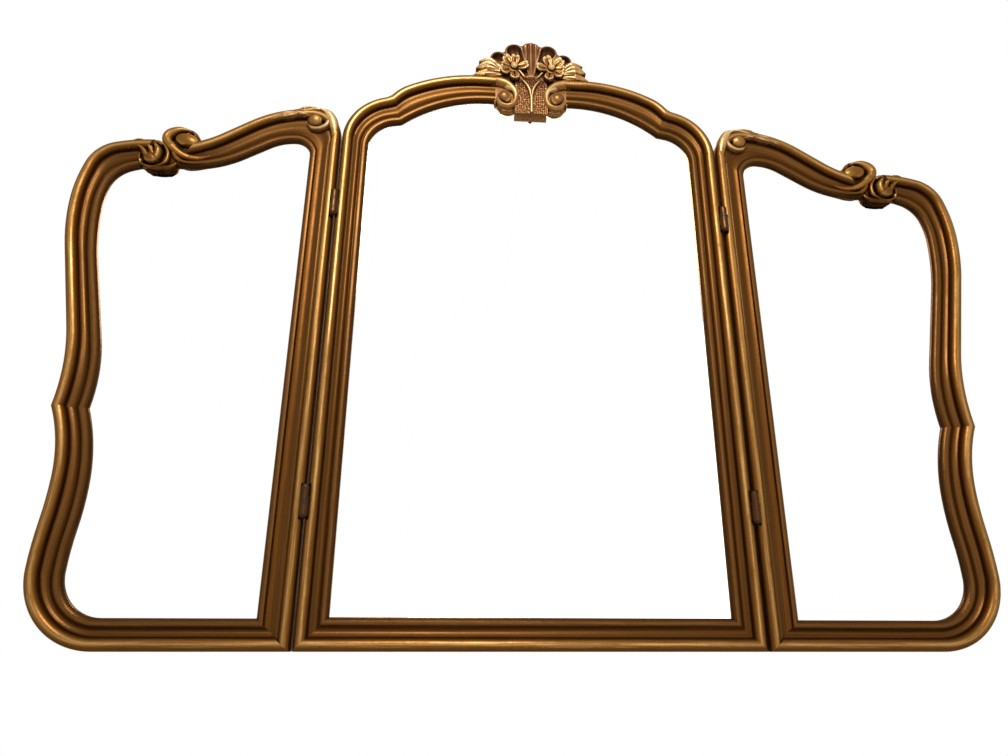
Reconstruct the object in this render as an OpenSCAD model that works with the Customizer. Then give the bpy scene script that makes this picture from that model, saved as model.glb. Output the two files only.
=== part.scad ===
// Three-panel folding wall mirror in carved and gilded wood.
// X runs across the mirror, -Y is the front, +Z is up, in millimetres.
// The origin lies on the back face, midway between the two hanging holes.
// Outlines are drawn in the plane of the wall as (u, z), with u measured outwards
// and z from the bottom of the frame, and heights h stand forward from the back face.

/* [Panels] */
// Width of the centre panel, edge to edge
centre_w = 491; // [470:1:520]
// Height of the straight part of the centre panel's sides
centre_side_h = 613.5; // [600:0.5:640]
// Straight length along the bottom of each wing
wing_bottom_run = 192.5; // [180:0.5:205]
// Gap between the centre panel and a wing
seam_gap = 2; // [1.5:0.1:3]

/* [Moulding] */
// Width of the centre panel's side and bottom members
member_w = 32.5; // [31:0.5:34]
// Width of the wing member beside the seam
seam_member_w = 38; // [36:0.5:40]
// Width of the big outer bead
bead_w = 13; // [12:0.5:14]
// Height of the frame's outer side below the bead
side_h = 15; // [14:0.5:16]
// Height of the hollow between bead and lip
hollow_h = 13; // [12:0.5:14]

/* [Glazing] */
// Thickness of the mirror glass
glass_t = 4; // [3:0.5:4]
// Thickness of the backing board
backing_t = 2; // [1.5:0.5:2]
// Width of the rebate that holds the glass
rebate_w = 7; // [6:0.5:7.5]

/* [Hinges] */
// Distance of the upper hinges below the top of the centre panel's sides
upper_hinge_drop = 96; // [85:1:125]
// Height of the lower hinges above the bottom of the frame
lower_hinge_z = 152.5; // [130:1:200]
// Radius of the hinge pins
pin_r = 2.5; // [2:0.1:3]
// Radial clearance between a pin and its socket
pin_play = 0.05; // [0.02:0.01:0.1]

/* [Hanging] */
// Distance of the hanging holes below the top of the centre panel's sides
hang_drop = 41.5; // [33:0.5:53]
// Radius of the hanging holes
hang_r = 4.5; // [3.5:0.25:5]

/* [Hidden] */
$fn = 48;
bead_r = bead_w / 2;
bead_top = side_h + bead_r;
rebate_h = 8;
lip_w = 9;
rail_w = 31;
half_w = centre_w / 2;
seam_u = half_w + seam_gap / 2;
wing_u = half_w + seam_gap;
glass_gap = 1.5;
hinge_h = bead_top + 1;
upper_hinge_z = centre_side_h - upper_hinge_drop;
hang_z = centre_side_h - hang_drop;
knuckle_r = 5;
socket_r = 4.2;
base_len = 16;
socket_len = 10;
pocket_r = 5.6;
ring_r = 5.4;
shank_r = 2.2;
shank_len = 21;
shank_tilt = 30;
hang_u = half_w - 12.5;
plate_screw_zs = [-16, 16];
top_z = centre_side_h + 110.5;
crest_end_u = 48;

// A run is a list of [length, radius, turn]: a straight then a kink where the radius is 0,
// and an arc that turns left by turn degrees where it isn't. The outer and the inner run of a
// member have the same number of pieces, and piece i of one lies across the wood from the other's.
centre_outer = [
    [centre_side_h, 0, 0], [0, 67.9, 75], [0, 22, -35], [0, 60, 23], [0, 210, 27],
    [half_w - 175.55 - crest_end_u, 0, 0]
];
centre_inner = [
    [centre_side_h - 7.5 - member_w, 0, 0], [0, 38, 80], [10, 0, -30.5],
    [0, 175, 12], [0, 175, 28.5], [half_w - member_w - 154.91 - crest_end_u, 0, 0]
];
wing_outer = [
    [wing_bottom_run, 0, 0], [0, 78.5, 70], [0, 78.5, 20], [0, 380, 7], [0, 380, -7],
    [0, 190, -24], [0, 0, 33], [0, 250, -21.5], [centre_side_h - 508.5, 0, 0], [0, 282, 12.5], [0, 188, 17],
    [0, 45, 18], [0, 45, 40], [0, 180, 15]
];
wing_inner = [
    [wing_bottom_run - seam_member_w, 0, 0], [0, 44, 70], [0, 44, 20], [0, 300, 8], [0, 330, -8],
    [0, 240, -21], [0, 0, 30], [0, 220, -22], [centre_side_h - 513.5, 0, 0], [0, 330, 13], [0, 100, 17],
    [0, 35, 17], [0, 35, 38], [10, 0, 0]
];
seam_outer = [
    [centre_side_h + 2.5, 0, 0], [0, 38.5, -90], [0, 140, -33], [wing_bottom_run - 152.5, 0, 0],
    [0, 119, 13]
];
seam_inner = [
    [centre_side_h - 25.5 - rail_w, 0, 0], [0, 20, -90], [0, 60, -31],
    [wing_bottom_run - 157.5, 0, 0], [0, 135, 36]
];

centre_out = poses([half_w, 0, 90], centre_outer);
centre_in = poses([half_w - member_w, member_w, 90], centre_inner);
wing_out = poses([0, 0, 0], wing_outer);
wing_in = poses([seam_member_w, rail_w, 0], wing_inner);
seam_out = poses([0, 0, 90], seam_outer);
seam_in = poses([seam_member_w, rail_w, 90], seam_inner);

// Ornament places: [u, z] of centres, in the wing's or the centre panel's own outline
crest_volute = [34, top_z - 36];
wing_scroll = [wing_bottom_run + 1, centre_side_h - 19.5];
wing_knot = [wing_bottom_run + 28, centre_side_h - 38.5];
scroll_r = 22.5;
ring_knot_r = 16.5;
corner_eye = [29, centre_side_h + 19.5];

SIDES = ["left", "right"];
LEVELS = ["lower", "upper"];

gold = "darkgoldenrod";
bole = "sienna";

// Outline helpers

// The pose [u, z, heading] at the end of one piece of a run
function next_pose(p, s) =
    s[1] == 0
    ? [p[0] + s[0] * cos(p[2]), p[1] + s[0] * sin(p[2]), p[2] + s[2]]
    : let (r = s[1] * sign(s[2]), h = p[2], g = p[2] + s[2])
      [p[0] + r * (sin(g) - sin(h)), p[1] + r * (cos(h) - cos(g)), g];

function poses(p, run, i = 0) =
    i == len(run) ? [p] : concat([p], poses(next_pose(p, run[i]), run, i + 1));

// A point d to the left of a pose, with its heading taken half a kink back
function beside(p, d, kink = 0) =
    let (h = p[2] - kink / 2, k = d / cos(kink / 2)) [p[0] - k * sin(h), p[1] + k * cos(h)];

function kink_of(run, i) = i >= 0 && run[i][1] == 0 ? run[i][2] : 0;

// The points d to the left of a run's pieces i0 to i1
function rim(ps, run, i0, i1, d) = concat(
    [for (i = [i0 : i1])
        let (s = run[i], n = s[1] == 0 ? 1 : ceil(abs(s[2]) / 6))
        for (j = [0 : n - 1])
            j == 0
            ? beside(ps[i], d, kink_of(run, i - 1))
            : beside(next_pose(ps[i], [0, s[1], s[2] * j / n]), d)],
    [beside(ps[i1 + 1], d, kink_of(run, i1))]
);

function reversed(pts) = [for (i = [len(pts) - 1 : -1 : 0]) pts[i]];

// Draws the (u, z) plane on the back face, with heights standing forward
module on_wall() translate([0, 0, -hang_z]) rotate([90, 0, 0]) children();
module on_side(side) mirror([side == "left" ? 1 : 0, 0, 0]) on_wall() children();
module on_wing(side) on_side(side) translate([wing_u, 0, 0]) children();

bead_crown = [for (a = [180 : -18 : 0]) [bead_r + bead_r * cos(a), side_h + bead_r * sin(a)]];
hollow = [[0, 0], [0.25, -0.9], [0.5, -1.2], [0.75, -0.9], [1, 0]];
lip_crown = [[7, hollow_h + 1.5], [5, hollow_h + 1.5], [3.5, hollow_h], [0, rebate_h + 1.5]];

// The moulding in section, in the upright plane through p on the outer edge and q on the sight
// edge: a bead along the one, a lip and the glass rebate along the other, a hollow between
function section(p, q) =
    let (
        a = [p[0], p[1]], b = [q[0], q[1]], e = (b - a) / norm(b - a),
        out = 1 / abs(e * [-sin(p[2]), cos(p[2])]), in = 1 / abs(e * [-sin(q[2]), cos(q[2])]),
        h0 = a + e * bead_w * out, h1 = b - e * (lip_w - 0.8) * in, back = b - e * rebate_w * in
    )
    [for (c = concat(
        [[a, 0]], [for (c = bead_crown) [a + e * c[0] * out, c[1]]],
        [for (c = hollow) [h0 + (h1 - h0) * c[0], hollow_h + c[1]]],
        [for (c = lip_crown) [b - e * c[0] * in, c[1]]],
        [[b, rebate_h], [back, rebate_h], [back, 0]]
    )) [c[0][0], c[0][1], c[1]]];

// A straight member's section, width w
module straight_profile(w)
    polygon([for (c = section([0, 0, 90], [w, 0, 90])) [c[0], c[2]]]);

// The poses along piece i of a run, in n steps
function along_piece(ps, run, i, n, first) =
    [for (j = [first : n])
        next_pose(ps[i], run[i][1] == 0 ? [run[i][0] * j / n, 0, 0] : [0, run[i][1], run[i][2] * j / n])];

function turn_of(s) = s[1] == 0 ? 0 : abs(s[2]);
function steps(a, b) = max(1, ceil(max(turn_of(a), turn_of(b)) / 6));
function track(ps, run, other, i0, i1) =
    [for (i = [i0 : i1]) each along_piece(ps, run, i, steps(run[i], other[i]), i == i0 ? 0 : 1)];

// One curved member, the moulding lofted between pieces i0 to i1 of two runs. The wood lies on
// the left of the runs where wood is 1 and on their right where it is -1.
module member(out, run_out, in, run_in, i0, i1, wood) {
    ps = track(out, run_out, run_in, i0, i1);
    qs = track(in, run_in, run_out, i0, i1);
    n = len(section(ps[0], qs[0]));
    last = (len(ps) - 1) * n;
    faces = concat(
        [for (k = [0 : n : last - n]) for (j = [0 : n - 1]) let (g = (j + 1) % n)
            each [[k + j, k + g, k + n + g], [k + j, k + n + g, k + n + j]]],
        [[for (j = [n - 1 : -1 : 0]) j], [for (j = [0 : n - 1]) last + j]]
    );
    polyhedron(
        [for (k = [0 : len(ps) - 1]) each section(ps[k], qs[k])],
        wood > 0 ? faces : [for (f = faces) reversed(f)]
    );
}

// The hinge's pocket and the holes for its two shanks, cut from the members beside a seam
module at_hinge(level)
    translate([0, level == "upper" ? upper_hinge_z : lower_hinge_z, hinge_h]) children();

module shank_hole(to_wing, z)
    translate([0, z, 0]) rotate([0, to_wing ? 180 - shank_tilt : 180 + shank_tilt, 0])
        cylinder(r = shank_r, h = shank_len);

module hinge_cuts()
    for (level = LEVELS)
        at_hinge(level) {
            translate([0, -base_len - knuckle_r - 1.6, 0])
                barrel(pocket_r, base_len + knuckle_r + socket_len + socket_r + 3.2);
            shank_hole(true, 7);
            shank_hole(false, -11);
        }

// Centre panel

module centre_bottom_rail()
    color(gold) on_wall()
        intersection() {
            translate([-half_w, 0, 0]) rotate([90, 0, 90]) linear_extrude(centre_w)
                straight_profile(member_w);
            translate([0, 0, -1]) linear_extrude(60)
                polygon([
                    [-half_w, 0], [half_w, 0], [half_w - member_w, member_w],
                    [member_w - half_w, member_w]
                ]);
        }

module hanger_cuts()
    translate([hang_u, hang_z, 0]) {
        translate([-9, -22, -1]) cube([18, 44, 3]);
        translate([0, 0, 1.9]) cylinder(r = 6.5, h = 6.1);
        translate([0, 2, 1.9]) cylinder(r = 6.5, h = 6.1);
        for (z = plate_screw_zs)
            translate([0, z, 0]) cylinder(r = 1.5, h = 10);
    }

module centre_stile(side)
    color(gold) on_side(side)
        difference() {
            intersection() {
                translate([half_w, 0, 0]) rotate([-90, 0, 0]) mirror([1, 0, 0]) mirror([0, 1, 0])
                    linear_extrude(centre_side_h) straight_profile(member_w);
                translate([0, 0, -1]) linear_extrude(60)
                    polygon([for (p = [[half_w, 0], centre_in[0], centre_in[1], centre_out[1]])
                        [p[0], p[1]]]);
            }
            translate([seam_u, 0, 0]) hinge_cuts();
            hanger_cuts();
            sprig_at(half_w - member_w + 2, 0);
        }

module centre_shoulder(side)
    color(gold) on_side(side) member(centre_out, centre_outer, centre_in, centre_inner, 1, 2, 1);

module centre_arch(side)
    color(gold) on_side(side) member(centre_out, centre_outer, centre_in, centre_inner, 3, 5, 1);

// The centre panel's opening, as an outline d into the wood
module centre_opening(d) {
    half = concat([[half_w - member_w + d, member_w - d]], rim(centre_in, centre_inner, 1, 5, -d));
    polygon(concat(half, reversed([for (p = half) [-p[0], p[1]]])));
}

module centre_glass()
    color("lightblue") on_wall()
        translate([0, 0, rebate_h - glass_t]) linear_extrude(glass_t)
            centre_opening(rebate_w - glass_gap);

module centre_backing()
    color("peru") on_wall()
        translate([0, 0, rebate_h - glass_t - backing_t]) linear_extrude(backing_t)
            centre_opening(rebate_w - glass_gap);

// A small steel triangle driven into the rebate's wall, its point in the wood
module sprig(at, angle)
    translate([at[0], at[1], rebate_h - glass_t - backing_t - 0.8]) rotate(angle)
        linear_extrude(0.8) polygon([[0, -3], [0, 3], [7.5, 0]]);

sprig_zs = [120, 300, centre_side_h - 133.5];
module sprig_at(u, angle)
    for (z = sprig_zs)
        sprig([u, z], angle);

module centre_sprigs()
    color("silver") on_wall()
        for (side = [0, 1])
            mirror([side, 0, 0]) sprig_at(half_w - member_w + 2, 0);

// Crest: the carved block, its volutes and stem, and the shell, flowers and leaves on top

arch_h = rebate_h + 0.3;

module crest_block()
    color(bole) on_wall() {
        translate([-crest_end_u, top_z - 30, 0]) cube([2 * crest_end_u, 30, hollow_h]);
        translate([-crest_end_u, top_z - 37, arch_h])
            cube([2 * crest_end_u, 10, hollow_h - arch_h]);
        translate([-22, top_z - 57, arch_h]) cube([44, 56, 17 - arch_h]);
    }

// One volute: the bead turns down off the arch and rolls round a raised eye
module volute_solid() {
    translate([crest_volute[0], crest_volute[1], arch_h]) cylinder(r = 20, h = side_h - arch_h + 2);
    translate([crest_volute[0], crest_volute[1], side_h])
        rotate_extrude() translate([15.5, 0]) circle(r = 4.5);
    translate([crest_volute[0], crest_volute[1], side_h]) cylinder(r = 8.5, h = 7.5);
    translate([44, top_z - 29.5, 0]) rotate_extrude(start = 90, angle = 80)
        translate([29.5, 0]) mirror([1, 0])
            polygon(concat([[0, hollow_h]], bead_crown, [[bead_w, hollow_h]]));
    translate([44, top_z - bead_w, hollow_h]) cube([4, bead_w, 2]);
}

module crest_volutes()
    color(gold) on_wall()
        difference() {
            for (side = [0, 1])
                mirror([side, 0, 0]) volute_solid();
            translate([-crest_end_u, top_z - 30, -1]) cube([2 * crest_end_u, 30, hollow_h + 1]);
            translate([-crest_end_u, top_z - 37, 0]) cube([2 * crest_end_u, 10, hollow_h]);
            translate([-22, top_z - 57, 0]) cube([44, 56, 17]);
            for (side = [0, 1])
                mirror([side, 0, 0]) translate([crest_end_u, 0, 0]) cube([60, 900, 60]);
        }

module crest_stem()
    color(gold) on_wall()
        translate([0, 0, 17]) linear_extrude(4.5) {
            polygon([
                [-1.5, top_z - 57], [1.5, top_z - 57], [3, top_z - 34], [6, top_z - 19],
                [10, top_z - 10], [7.5, top_z - 9], [3, top_z - 17], [0, top_z - 28],
                [-3, top_z - 17], [-7.5, top_z - 9], [-10, top_z - 10], [-6, top_z - 19],
                [-3, top_z - 34]
            ]);
        }

// The shell is a fan of rounded lobes: [distance from the fan's foot, lobe radius, angle]
fan_z = top_z - 12;
shell_lobes = [[61, 11.5, 47], [59, 13, 23], [57, 14.5, 0], [59, 13, -23], [61, 11.5, -47]];
shell_back = 2;
shell_h = 20;
function lobe_at(lobe) = [lobe[0] * sin(lobe[2]), lobe[0] * cos(lobe[2])];

module shell_body(front) {
    for (lobe = shell_lobes)
        translate([lobe_at(lobe)[0], lobe_at(lobe)[1], shell_back])
            cylinder(r = lobe[1], h = front - shell_back);
    translate([0, 0, shell_back]) linear_extrude(front - shell_back)
        polygon(concat([[-34, 12], [34, 12]], [for (lobe = shell_lobes) lobe_at(lobe)]));
}

module crest_shell()
    color(bole) on_wall() translate([0, fan_z, 0])
        difference() {
            shell_body(shell_h);
            for (lobe = shell_lobes)
                rotate(-lobe[2]) translate([0, 20, shell_h + 6]) rotate([-95, 0, 0])
                    cylinder(r = lobe[1] - 4, h = 90);
        }

module flower() {
    linear_extrude(5) {
        circle(r = 8);
        for (a = [20 : 60 : 320])
            rotate(a) translate([11.5, 0]) circle(r = 6.5);
    }
    translate([0, 0, 4]) cylinder(r = 4.6, h = 5);
}

flower_at = [25, top_z + 17];
module crest_flower(side)
    color(gold) on_side(side)
        translate([flower_at[0], flower_at[1], shell_h]) flower();

module crest_leaves()
    color(gold) on_wall()
        difference() {
            for (side = [0, 1])
                mirror([side, 0, 0]) translate([0, 0, shell_back]) linear_extrude(17)
                    polygon([
                        [30, top_z], [80, top_z], [74, top_z + 6], [71, top_z + 15],
                        [68, top_z + 23], [60, top_z + 28], [50, top_z + 25], [40, top_z + 10]
                    ]);
            translate([0, fan_z, -1]) shell_body(shell_h + 5);
        }

// Hanging plates, let into the stiles' backs

module hanger_plates()
    color("goldenrod") on_wall()
        for (side = [0, 1])
            mirror([side, 0, 0])
                difference() {
                    translate([hang_u - 9, hang_z - 22, 0]) cube([18, 44, 2]);
                    translate([hang_u, hang_z, -1]) cylinder(r = hang_r, h = 4);
                    for (z = plate_screw_zs)
                        translate([hang_u, hang_z + z, -1]) {
                            cylinder(r = 1.5, h = 4);
                            cylinder(r = 3, h = 2);
                        }
                }

module hanger_screws()
    color("silver") on_wall()
        for (side = [0, 1])
            mirror([side, 0, 0])
                for (z = plate_screw_zs)
                    translate([hang_u, hang_z + z, 0]) {
                        cylinder(r = 1.5, h = 10);
                        cylinder(r = 3, h = 1);
                    }

// Wings, drawn for the right side

module inner_stile(side)
    color(gold) on_wing(side)
        difference() {
            intersection() {
                rotate([-90, 0, 0]) mirror([0, 1, 0])
                    linear_extrude(seam_out[1][1]) straight_profile(seam_member_w);
                translate([0, 0, -1]) linear_extrude(60)
                    polygon([for (p = [seam_out[0], seam_out[1], seam_in[1], seam_in[0]])
                        [p[0], p[1]]]);
            }
            translate([-seam_gap / 2, 0, 0]) hinge_cuts();
            sprig_at(seam_member_w - 2, 180);
        }

module bottom_rail(side)
    color(gold) on_wing(side) member(wing_out, wing_outer, wing_in, wing_inner, 0, 1, 1);

module lower_stile(side)
    color(gold) on_wing(side) member(wing_out, wing_outer, wing_in, wing_inner, 2, 5, 1);

module upper_stile(side)
    color(gold) on_wing(side) member(wing_out, wing_outer, wing_in, wing_inner, 7, 11, 1);

module shoulder(side)
    color(gold) on_wing(side) member(wing_out, wing_outer, wing_in, wing_inner, 12, 13, 1);

module top_rail(side)
    color(gold) on_wing(side) member(seam_out, seam_outer, seam_in, seam_inner, 1, 4, -1);

function flat_point(p) = [p[0], p[1]];

// The knot's outline: the ends of the top rail and the shoulder, and a bulge below them
knot_foot = [for (p = [[-14.5, -20.5], [-6.5, -25.2], [1.5, -26.5], [9.5, -25.2], [17.5, -21]])
    wing_knot + p];
module knot_outline()
    polygon(concat(
        [flat_point(seam_out[5]), flat_point(seam_in[5])], knot_foot,
        [flat_point(wing_in[14]), flat_point(wing_out[14])]
    ));

// The open scroll that stands on the top rail: a roll round an egg-shaped eye
module scroll(side)
    color(gold) on_wing(side)
        difference() {
            translate([wing_scroll[0], wing_scroll[1], 0]) {
                cylinder(r = scroll_r - 1, h = side_h);
                translate([0, 0, side_h]) rotate_extrude(start = -45, angle = 250)
                    translate([scroll_r - 6, 0]) circle(r = 5.5);
                translate([-8, 1, bead_top - 9]) sphere(r = 9);
            }
            translate([0, 0, -1]) linear_extrude(60)
                polygon(concat(
                    rim(seam_out, seam_outer, 3, 4, 0),
                    [flat_point(wing_out[14]), wing_knot + [20, -80], wing_knot + [-80, -80]]
                ));
        }

// The knot that joins the top rail and the shoulder: an open ring round a boss
module knot(side)
    color(gold) on_wing(side)
        difference() {
            union() {
                linear_extrude(side_h) knot_outline();
                intersection() {
                    translate([0, 0, side_h - 2]) linear_extrude(20) knot_outline();
                    translate([wing_knot[0], wing_knot[1], side_h - 1]) {
                        translate([2, -5, 0]) sphere(r = 9);
                        rotate_extrude(start = 112, angle = 236)
                            translate([ring_knot_r, 0]) circle(r = 3.5);
                    }
                }
            }
            rebate_cut();
        }

// The small volute and leaf on the inner corner's bead
module corner_leaf(side)
    color(gold) on_wing(side)
        difference() {
            translate([corner_eye[0], corner_eye[1], hollow_h]) {
                cylinder(r = 10, h = 9);
                translate([0, 0, 8]) cylinder(r = 5, h = 3);
            }
            member(seam_out, seam_outer, seam_in, seam_inner, 1, 2, -1);
        }

// The glazing rebate below the ornaments
module rebate_cut()
    translate([0, 0, -1]) linear_extrude(rebate_h + 1) wing_opening(rebate_w);

module wing_opening(d)
    polygon(concat(
        [[seam_member_w - d, rail_w - d]],
        rim(wing_in, wing_inner, 1, 13, -d),
        reversed(rim(seam_in, seam_inner, 1, 4, d))
    ));

module wing_glass(side)
    color("lightblue") on_wing(side)
        translate([0, 0, rebate_h - glass_t]) linear_extrude(glass_t)
            wing_opening(rebate_w - glass_gap);

module wing_backing(side)
    color("peru") on_wing(side)
        translate([0, 0, rebate_h - glass_t - backing_t]) linear_extrude(backing_t)
            wing_opening(rebate_w - glass_gap);

module wing_sprigs(side)
    color("silver") on_wing(side)
        sprig_at(seam_member_w - 2, 180);

// Hinges: two barrels on screw shanks, a ring between them and a pin

module barrel(r, h)
    rotate([-90, 0, 0]) cylinder(r = r, h = h);

// A barrel with a rounded far end
module domed_barrel(r, h)
    rotate([-90, 0, 0]) rotate_extrude()
        polygon(concat([[0, 0], [r, 0]], [for (a = [0 : 15 : 90]) [r * cos(a), h + r * sin(a)]]));

module shank(to_wing, z)
    difference() {
        shank_hole(to_wing, z);
        translate([0, -30, 0]) rotate([-90, 0, 0]) cylinder(r = 4, h = 60);
    }

module on_seam(side, level)
    on_side(side) translate([seam_u, 0, 0]) at_hinge(level) children();

module hinge_base(side, level)
    color("goldenrod") on_seam(side, level)
        difference() {
            union() {
                translate([0, -1, 0]) mirror([0, 1, 0]) domed_barrel(knuckle_r, base_len);
                shank(false, -11);
            }
            translate([0, -13, 0]) barrel(pin_r, 20);
        }

module hinge_socket(side, level)
    color("goldenrod") on_seam(side, level)
        difference() {
            union() {
                translate([0, 1, 0]) domed_barrel(socket_r, socket_len);
                shank(true, 7);
            }
            barrel(pin_r + pin_play, 10);
        }

module hinge_pin(side, level)
    color("silver") on_seam(side, level)
        translate([0, -13, 0]) barrel(pin_r, 22.5);

module hinge_rings()
    color("gold")
        for (side = SIDES)
            for (level = LEVELS)
                on_seam(side, level)
                    difference() {
                        translate([0, -1, 0]) barrel(ring_r, 1.97);
                        translate([0, -2, 0]) barrel(pin_r, 5);
                    }

centre_bottom_rail();
centre_stile("left");  // centre_left_stile
centre_stile("right");  // centre_right_stile
centre_shoulder("left");  // centre_left_shoulder
centre_shoulder("right");  // centre_right_shoulder
centre_arch("left");  // centre_left_arch
centre_arch("right");  // centre_right_arch
crest_block();
crest_volutes();
crest_stem();
crest_shell();
crest_flower("left");  // crest_left_flower
crest_flower("right");  // crest_right_flower
crest_leaves();
centre_glass();
centre_backing();
centre_sprigs();
hanger_plates();
hanger_screws();
inner_stile("left");  // left_inner_stile
bottom_rail("left");  // left_bottom_rail
lower_stile("left");  // left_lower_stile
upper_stile("left");  // left_upper_stile
shoulder("left");  // left_shoulder
top_rail("left");  // left_top_rail
scroll("left");  // left_scroll
knot("left");  // left_knot
corner_leaf("left");  // left_corner_leaf
wing_glass("left");  // left_glass
wing_backing("left");  // left_backing
wing_sprigs("left");  // left_sprigs
inner_stile("right");  // right_inner_stile
bottom_rail("right");  // right_bottom_rail
lower_stile("right");  // right_lower_stile
upper_stile("right");  // right_upper_stile
shoulder("right");  // right_shoulder
top_rail("right");  // right_top_rail
scroll("right");  // right_scroll
knot("right");  // right_knot
corner_leaf("right");  // right_corner_leaf
wing_glass("right");  // right_glass
wing_backing("right");  // right_backing
wing_sprigs("right");  // right_sprigs
hinge_base("left", "lower");  // left_lower_hinge_base
hinge_socket("left", "lower");  // left_lower_hinge_socket
hinge_pin("left", "lower");  // left_lower_hinge_pin
hinge_base("left", "upper");  // left_upper_hinge_base
hinge_socket("left", "upper");  // left_upper_hinge_socket
hinge_pin("left", "upper");  // left_upper_hinge_pin
hinge_base("right", "lower");  // right_lower_hinge_base
hinge_socket("right", "lower");  // right_lower_hinge_socket
hinge_pin("right", "lower");  // right_lower_hinge_pin
hinge_base("right", "upper");  // right_upper_hinge_base
hinge_socket("right", "upper");  // right_upper_hinge_socket
hinge_pin("right", "upper");  // right_upper_hinge_pin
hinge_rings();
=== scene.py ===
"""A folding wall mirror of three panels: gilded mouldings, carved ornaments, mirror glass.

Outlines are drawn in the wall's plane as (u, z) in millimetres, u outwards from the middle and z
from the bottom of the frame, and h stands forward from the back face, as in the part's source.
Tone picks the gilding's colour, painted shade and highlights included: by place across a
moulding's section, by depth on carving.
"""
import math

import bmesh
import bpy
import numpy as np
from mathutils import Matrix, Vector


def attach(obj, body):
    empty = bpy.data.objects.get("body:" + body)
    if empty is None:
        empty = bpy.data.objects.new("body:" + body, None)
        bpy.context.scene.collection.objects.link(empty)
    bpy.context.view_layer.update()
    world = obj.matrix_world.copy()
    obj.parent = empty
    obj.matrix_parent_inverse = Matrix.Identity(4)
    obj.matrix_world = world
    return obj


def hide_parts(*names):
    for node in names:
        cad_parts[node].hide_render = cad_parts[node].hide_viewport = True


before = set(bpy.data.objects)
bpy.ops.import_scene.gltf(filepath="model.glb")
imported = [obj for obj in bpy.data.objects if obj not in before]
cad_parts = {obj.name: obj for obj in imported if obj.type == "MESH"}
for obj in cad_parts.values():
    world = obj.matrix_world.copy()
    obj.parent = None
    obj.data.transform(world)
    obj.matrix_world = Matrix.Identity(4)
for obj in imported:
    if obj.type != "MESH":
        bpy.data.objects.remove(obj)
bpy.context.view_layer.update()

HANDS = ((-1, "left"), (1, "right"))
HANG_Z = 572.0  # the hanging holes, where the frame's origin is
HALF_W = 245.5  # half of the centre panel
WING_U = 247.5  # the wing's edge at the seam
SEAM_U = 246.5  # the hinge line
TOP_Z = 724.0  # the arch's crown
MEMBER_W = 32.5  # width of the centre panel's members
SEAM_W, RAIL_W = 38.0, 31.0  # widths of a wing's inner stile and bottom rail
BEAD_R, SIDE_H = 6.5, 15.0  # the bead's radius, and the height that it springs from
HOLLOW_IN, LIP_W = 13.2, 8.6  # the hollow's two sides, in from the outer and the sight edge
REBATE_W, REBATE_H = 7.0, 8.0
HINGE_Z, HINGE_H = (152.5, 517.5), 22.5
POCKET_R, POCKET_L, POCKET_DROP = 5.6, 38.4, 3.4  # the recess round a hinge's barrels
STATION_DEG = 2.5  # the most that a moulding bends from one station to the next
RAIL_CREASE, CARVED_CREASE, NODE_CREASE = 38, 50, 30  # degrees at which an arris stays sharp

# Camera

PHOTO_W, FOCAL, SENSOR_W = 1008.0, 650.0, 36.0  # pixels, pixels, millimetres
CAMERA_AT = (-0.0822, -0.7329, (64.1 - HANG_Z) / 1000)
PITCH, YAW, ROLL = math.radians(17.76), math.radians(3.823), math.radians(0.372)


def make_camera():
    data = bpy.data.cameras.new("camera")
    data.sensor_width = SENSOR_W
    data.lens = FOCAL / PHOTO_W * SENSOR_W
    data.clip_start, data.clip_end = 0.01, 30.0
    cam = bpy.data.objects.new("camera", data)
    bpy.context.scene.collection.objects.link(cam)
    away = math.cos(PITCH)
    ahead = Vector((math.sin(YAW) * away, math.cos(YAW) * away, math.sin(PITCH)))
    level = Vector((math.cos(YAW), -math.sin(YAW), 0.0))
    upright = level.cross(ahead)
    right = level * math.cos(ROLL) + upright * math.sin(ROLL)
    up = upright * math.cos(ROLL) - level * math.sin(ROLL)
    turn = Matrix((right, up, -ahead)).transposed().to_4x4()
    turn.translation = CAMERA_AT
    cam.matrix_world = turn
    bpy.context.scene.camera = cam


make_camera()

# Shader maths


class Val:
    """A value or colour in a node tree, with arithmetic."""

    def __init__(self, nodes, socket):
        self.nodes, self.socket = nodes, socket

    def math(self, operation, first, second):
        return self.nodes.node("ShaderNodeMath", {"operation": operation}, first, second)

    def __add__(self, other):
        return self.math("ADD", self, other)

    def __mul__(self, other):
        return self.math("MULTIPLY", self, other)

    def __sub__(self, other):
        return self.math("SUBTRACT", self, other)

    def __rsub__(self, other):
        return self.math("SUBTRACT", other, self)

    __radd__, __rmul__ = __add__, __mul__

    def at_least(self, other):
        return self.math("MAXIMUM", self, other)

    def step(self, low, high):
        """0 below low, 1 above high, eased between."""
        return self.nodes.node(
            "ShaderNodeMapRange", {"interpolation_type": "SMOOTHSTEP", "clamp": True},
            self, low, high, 0.0, 1.0,
        )


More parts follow.
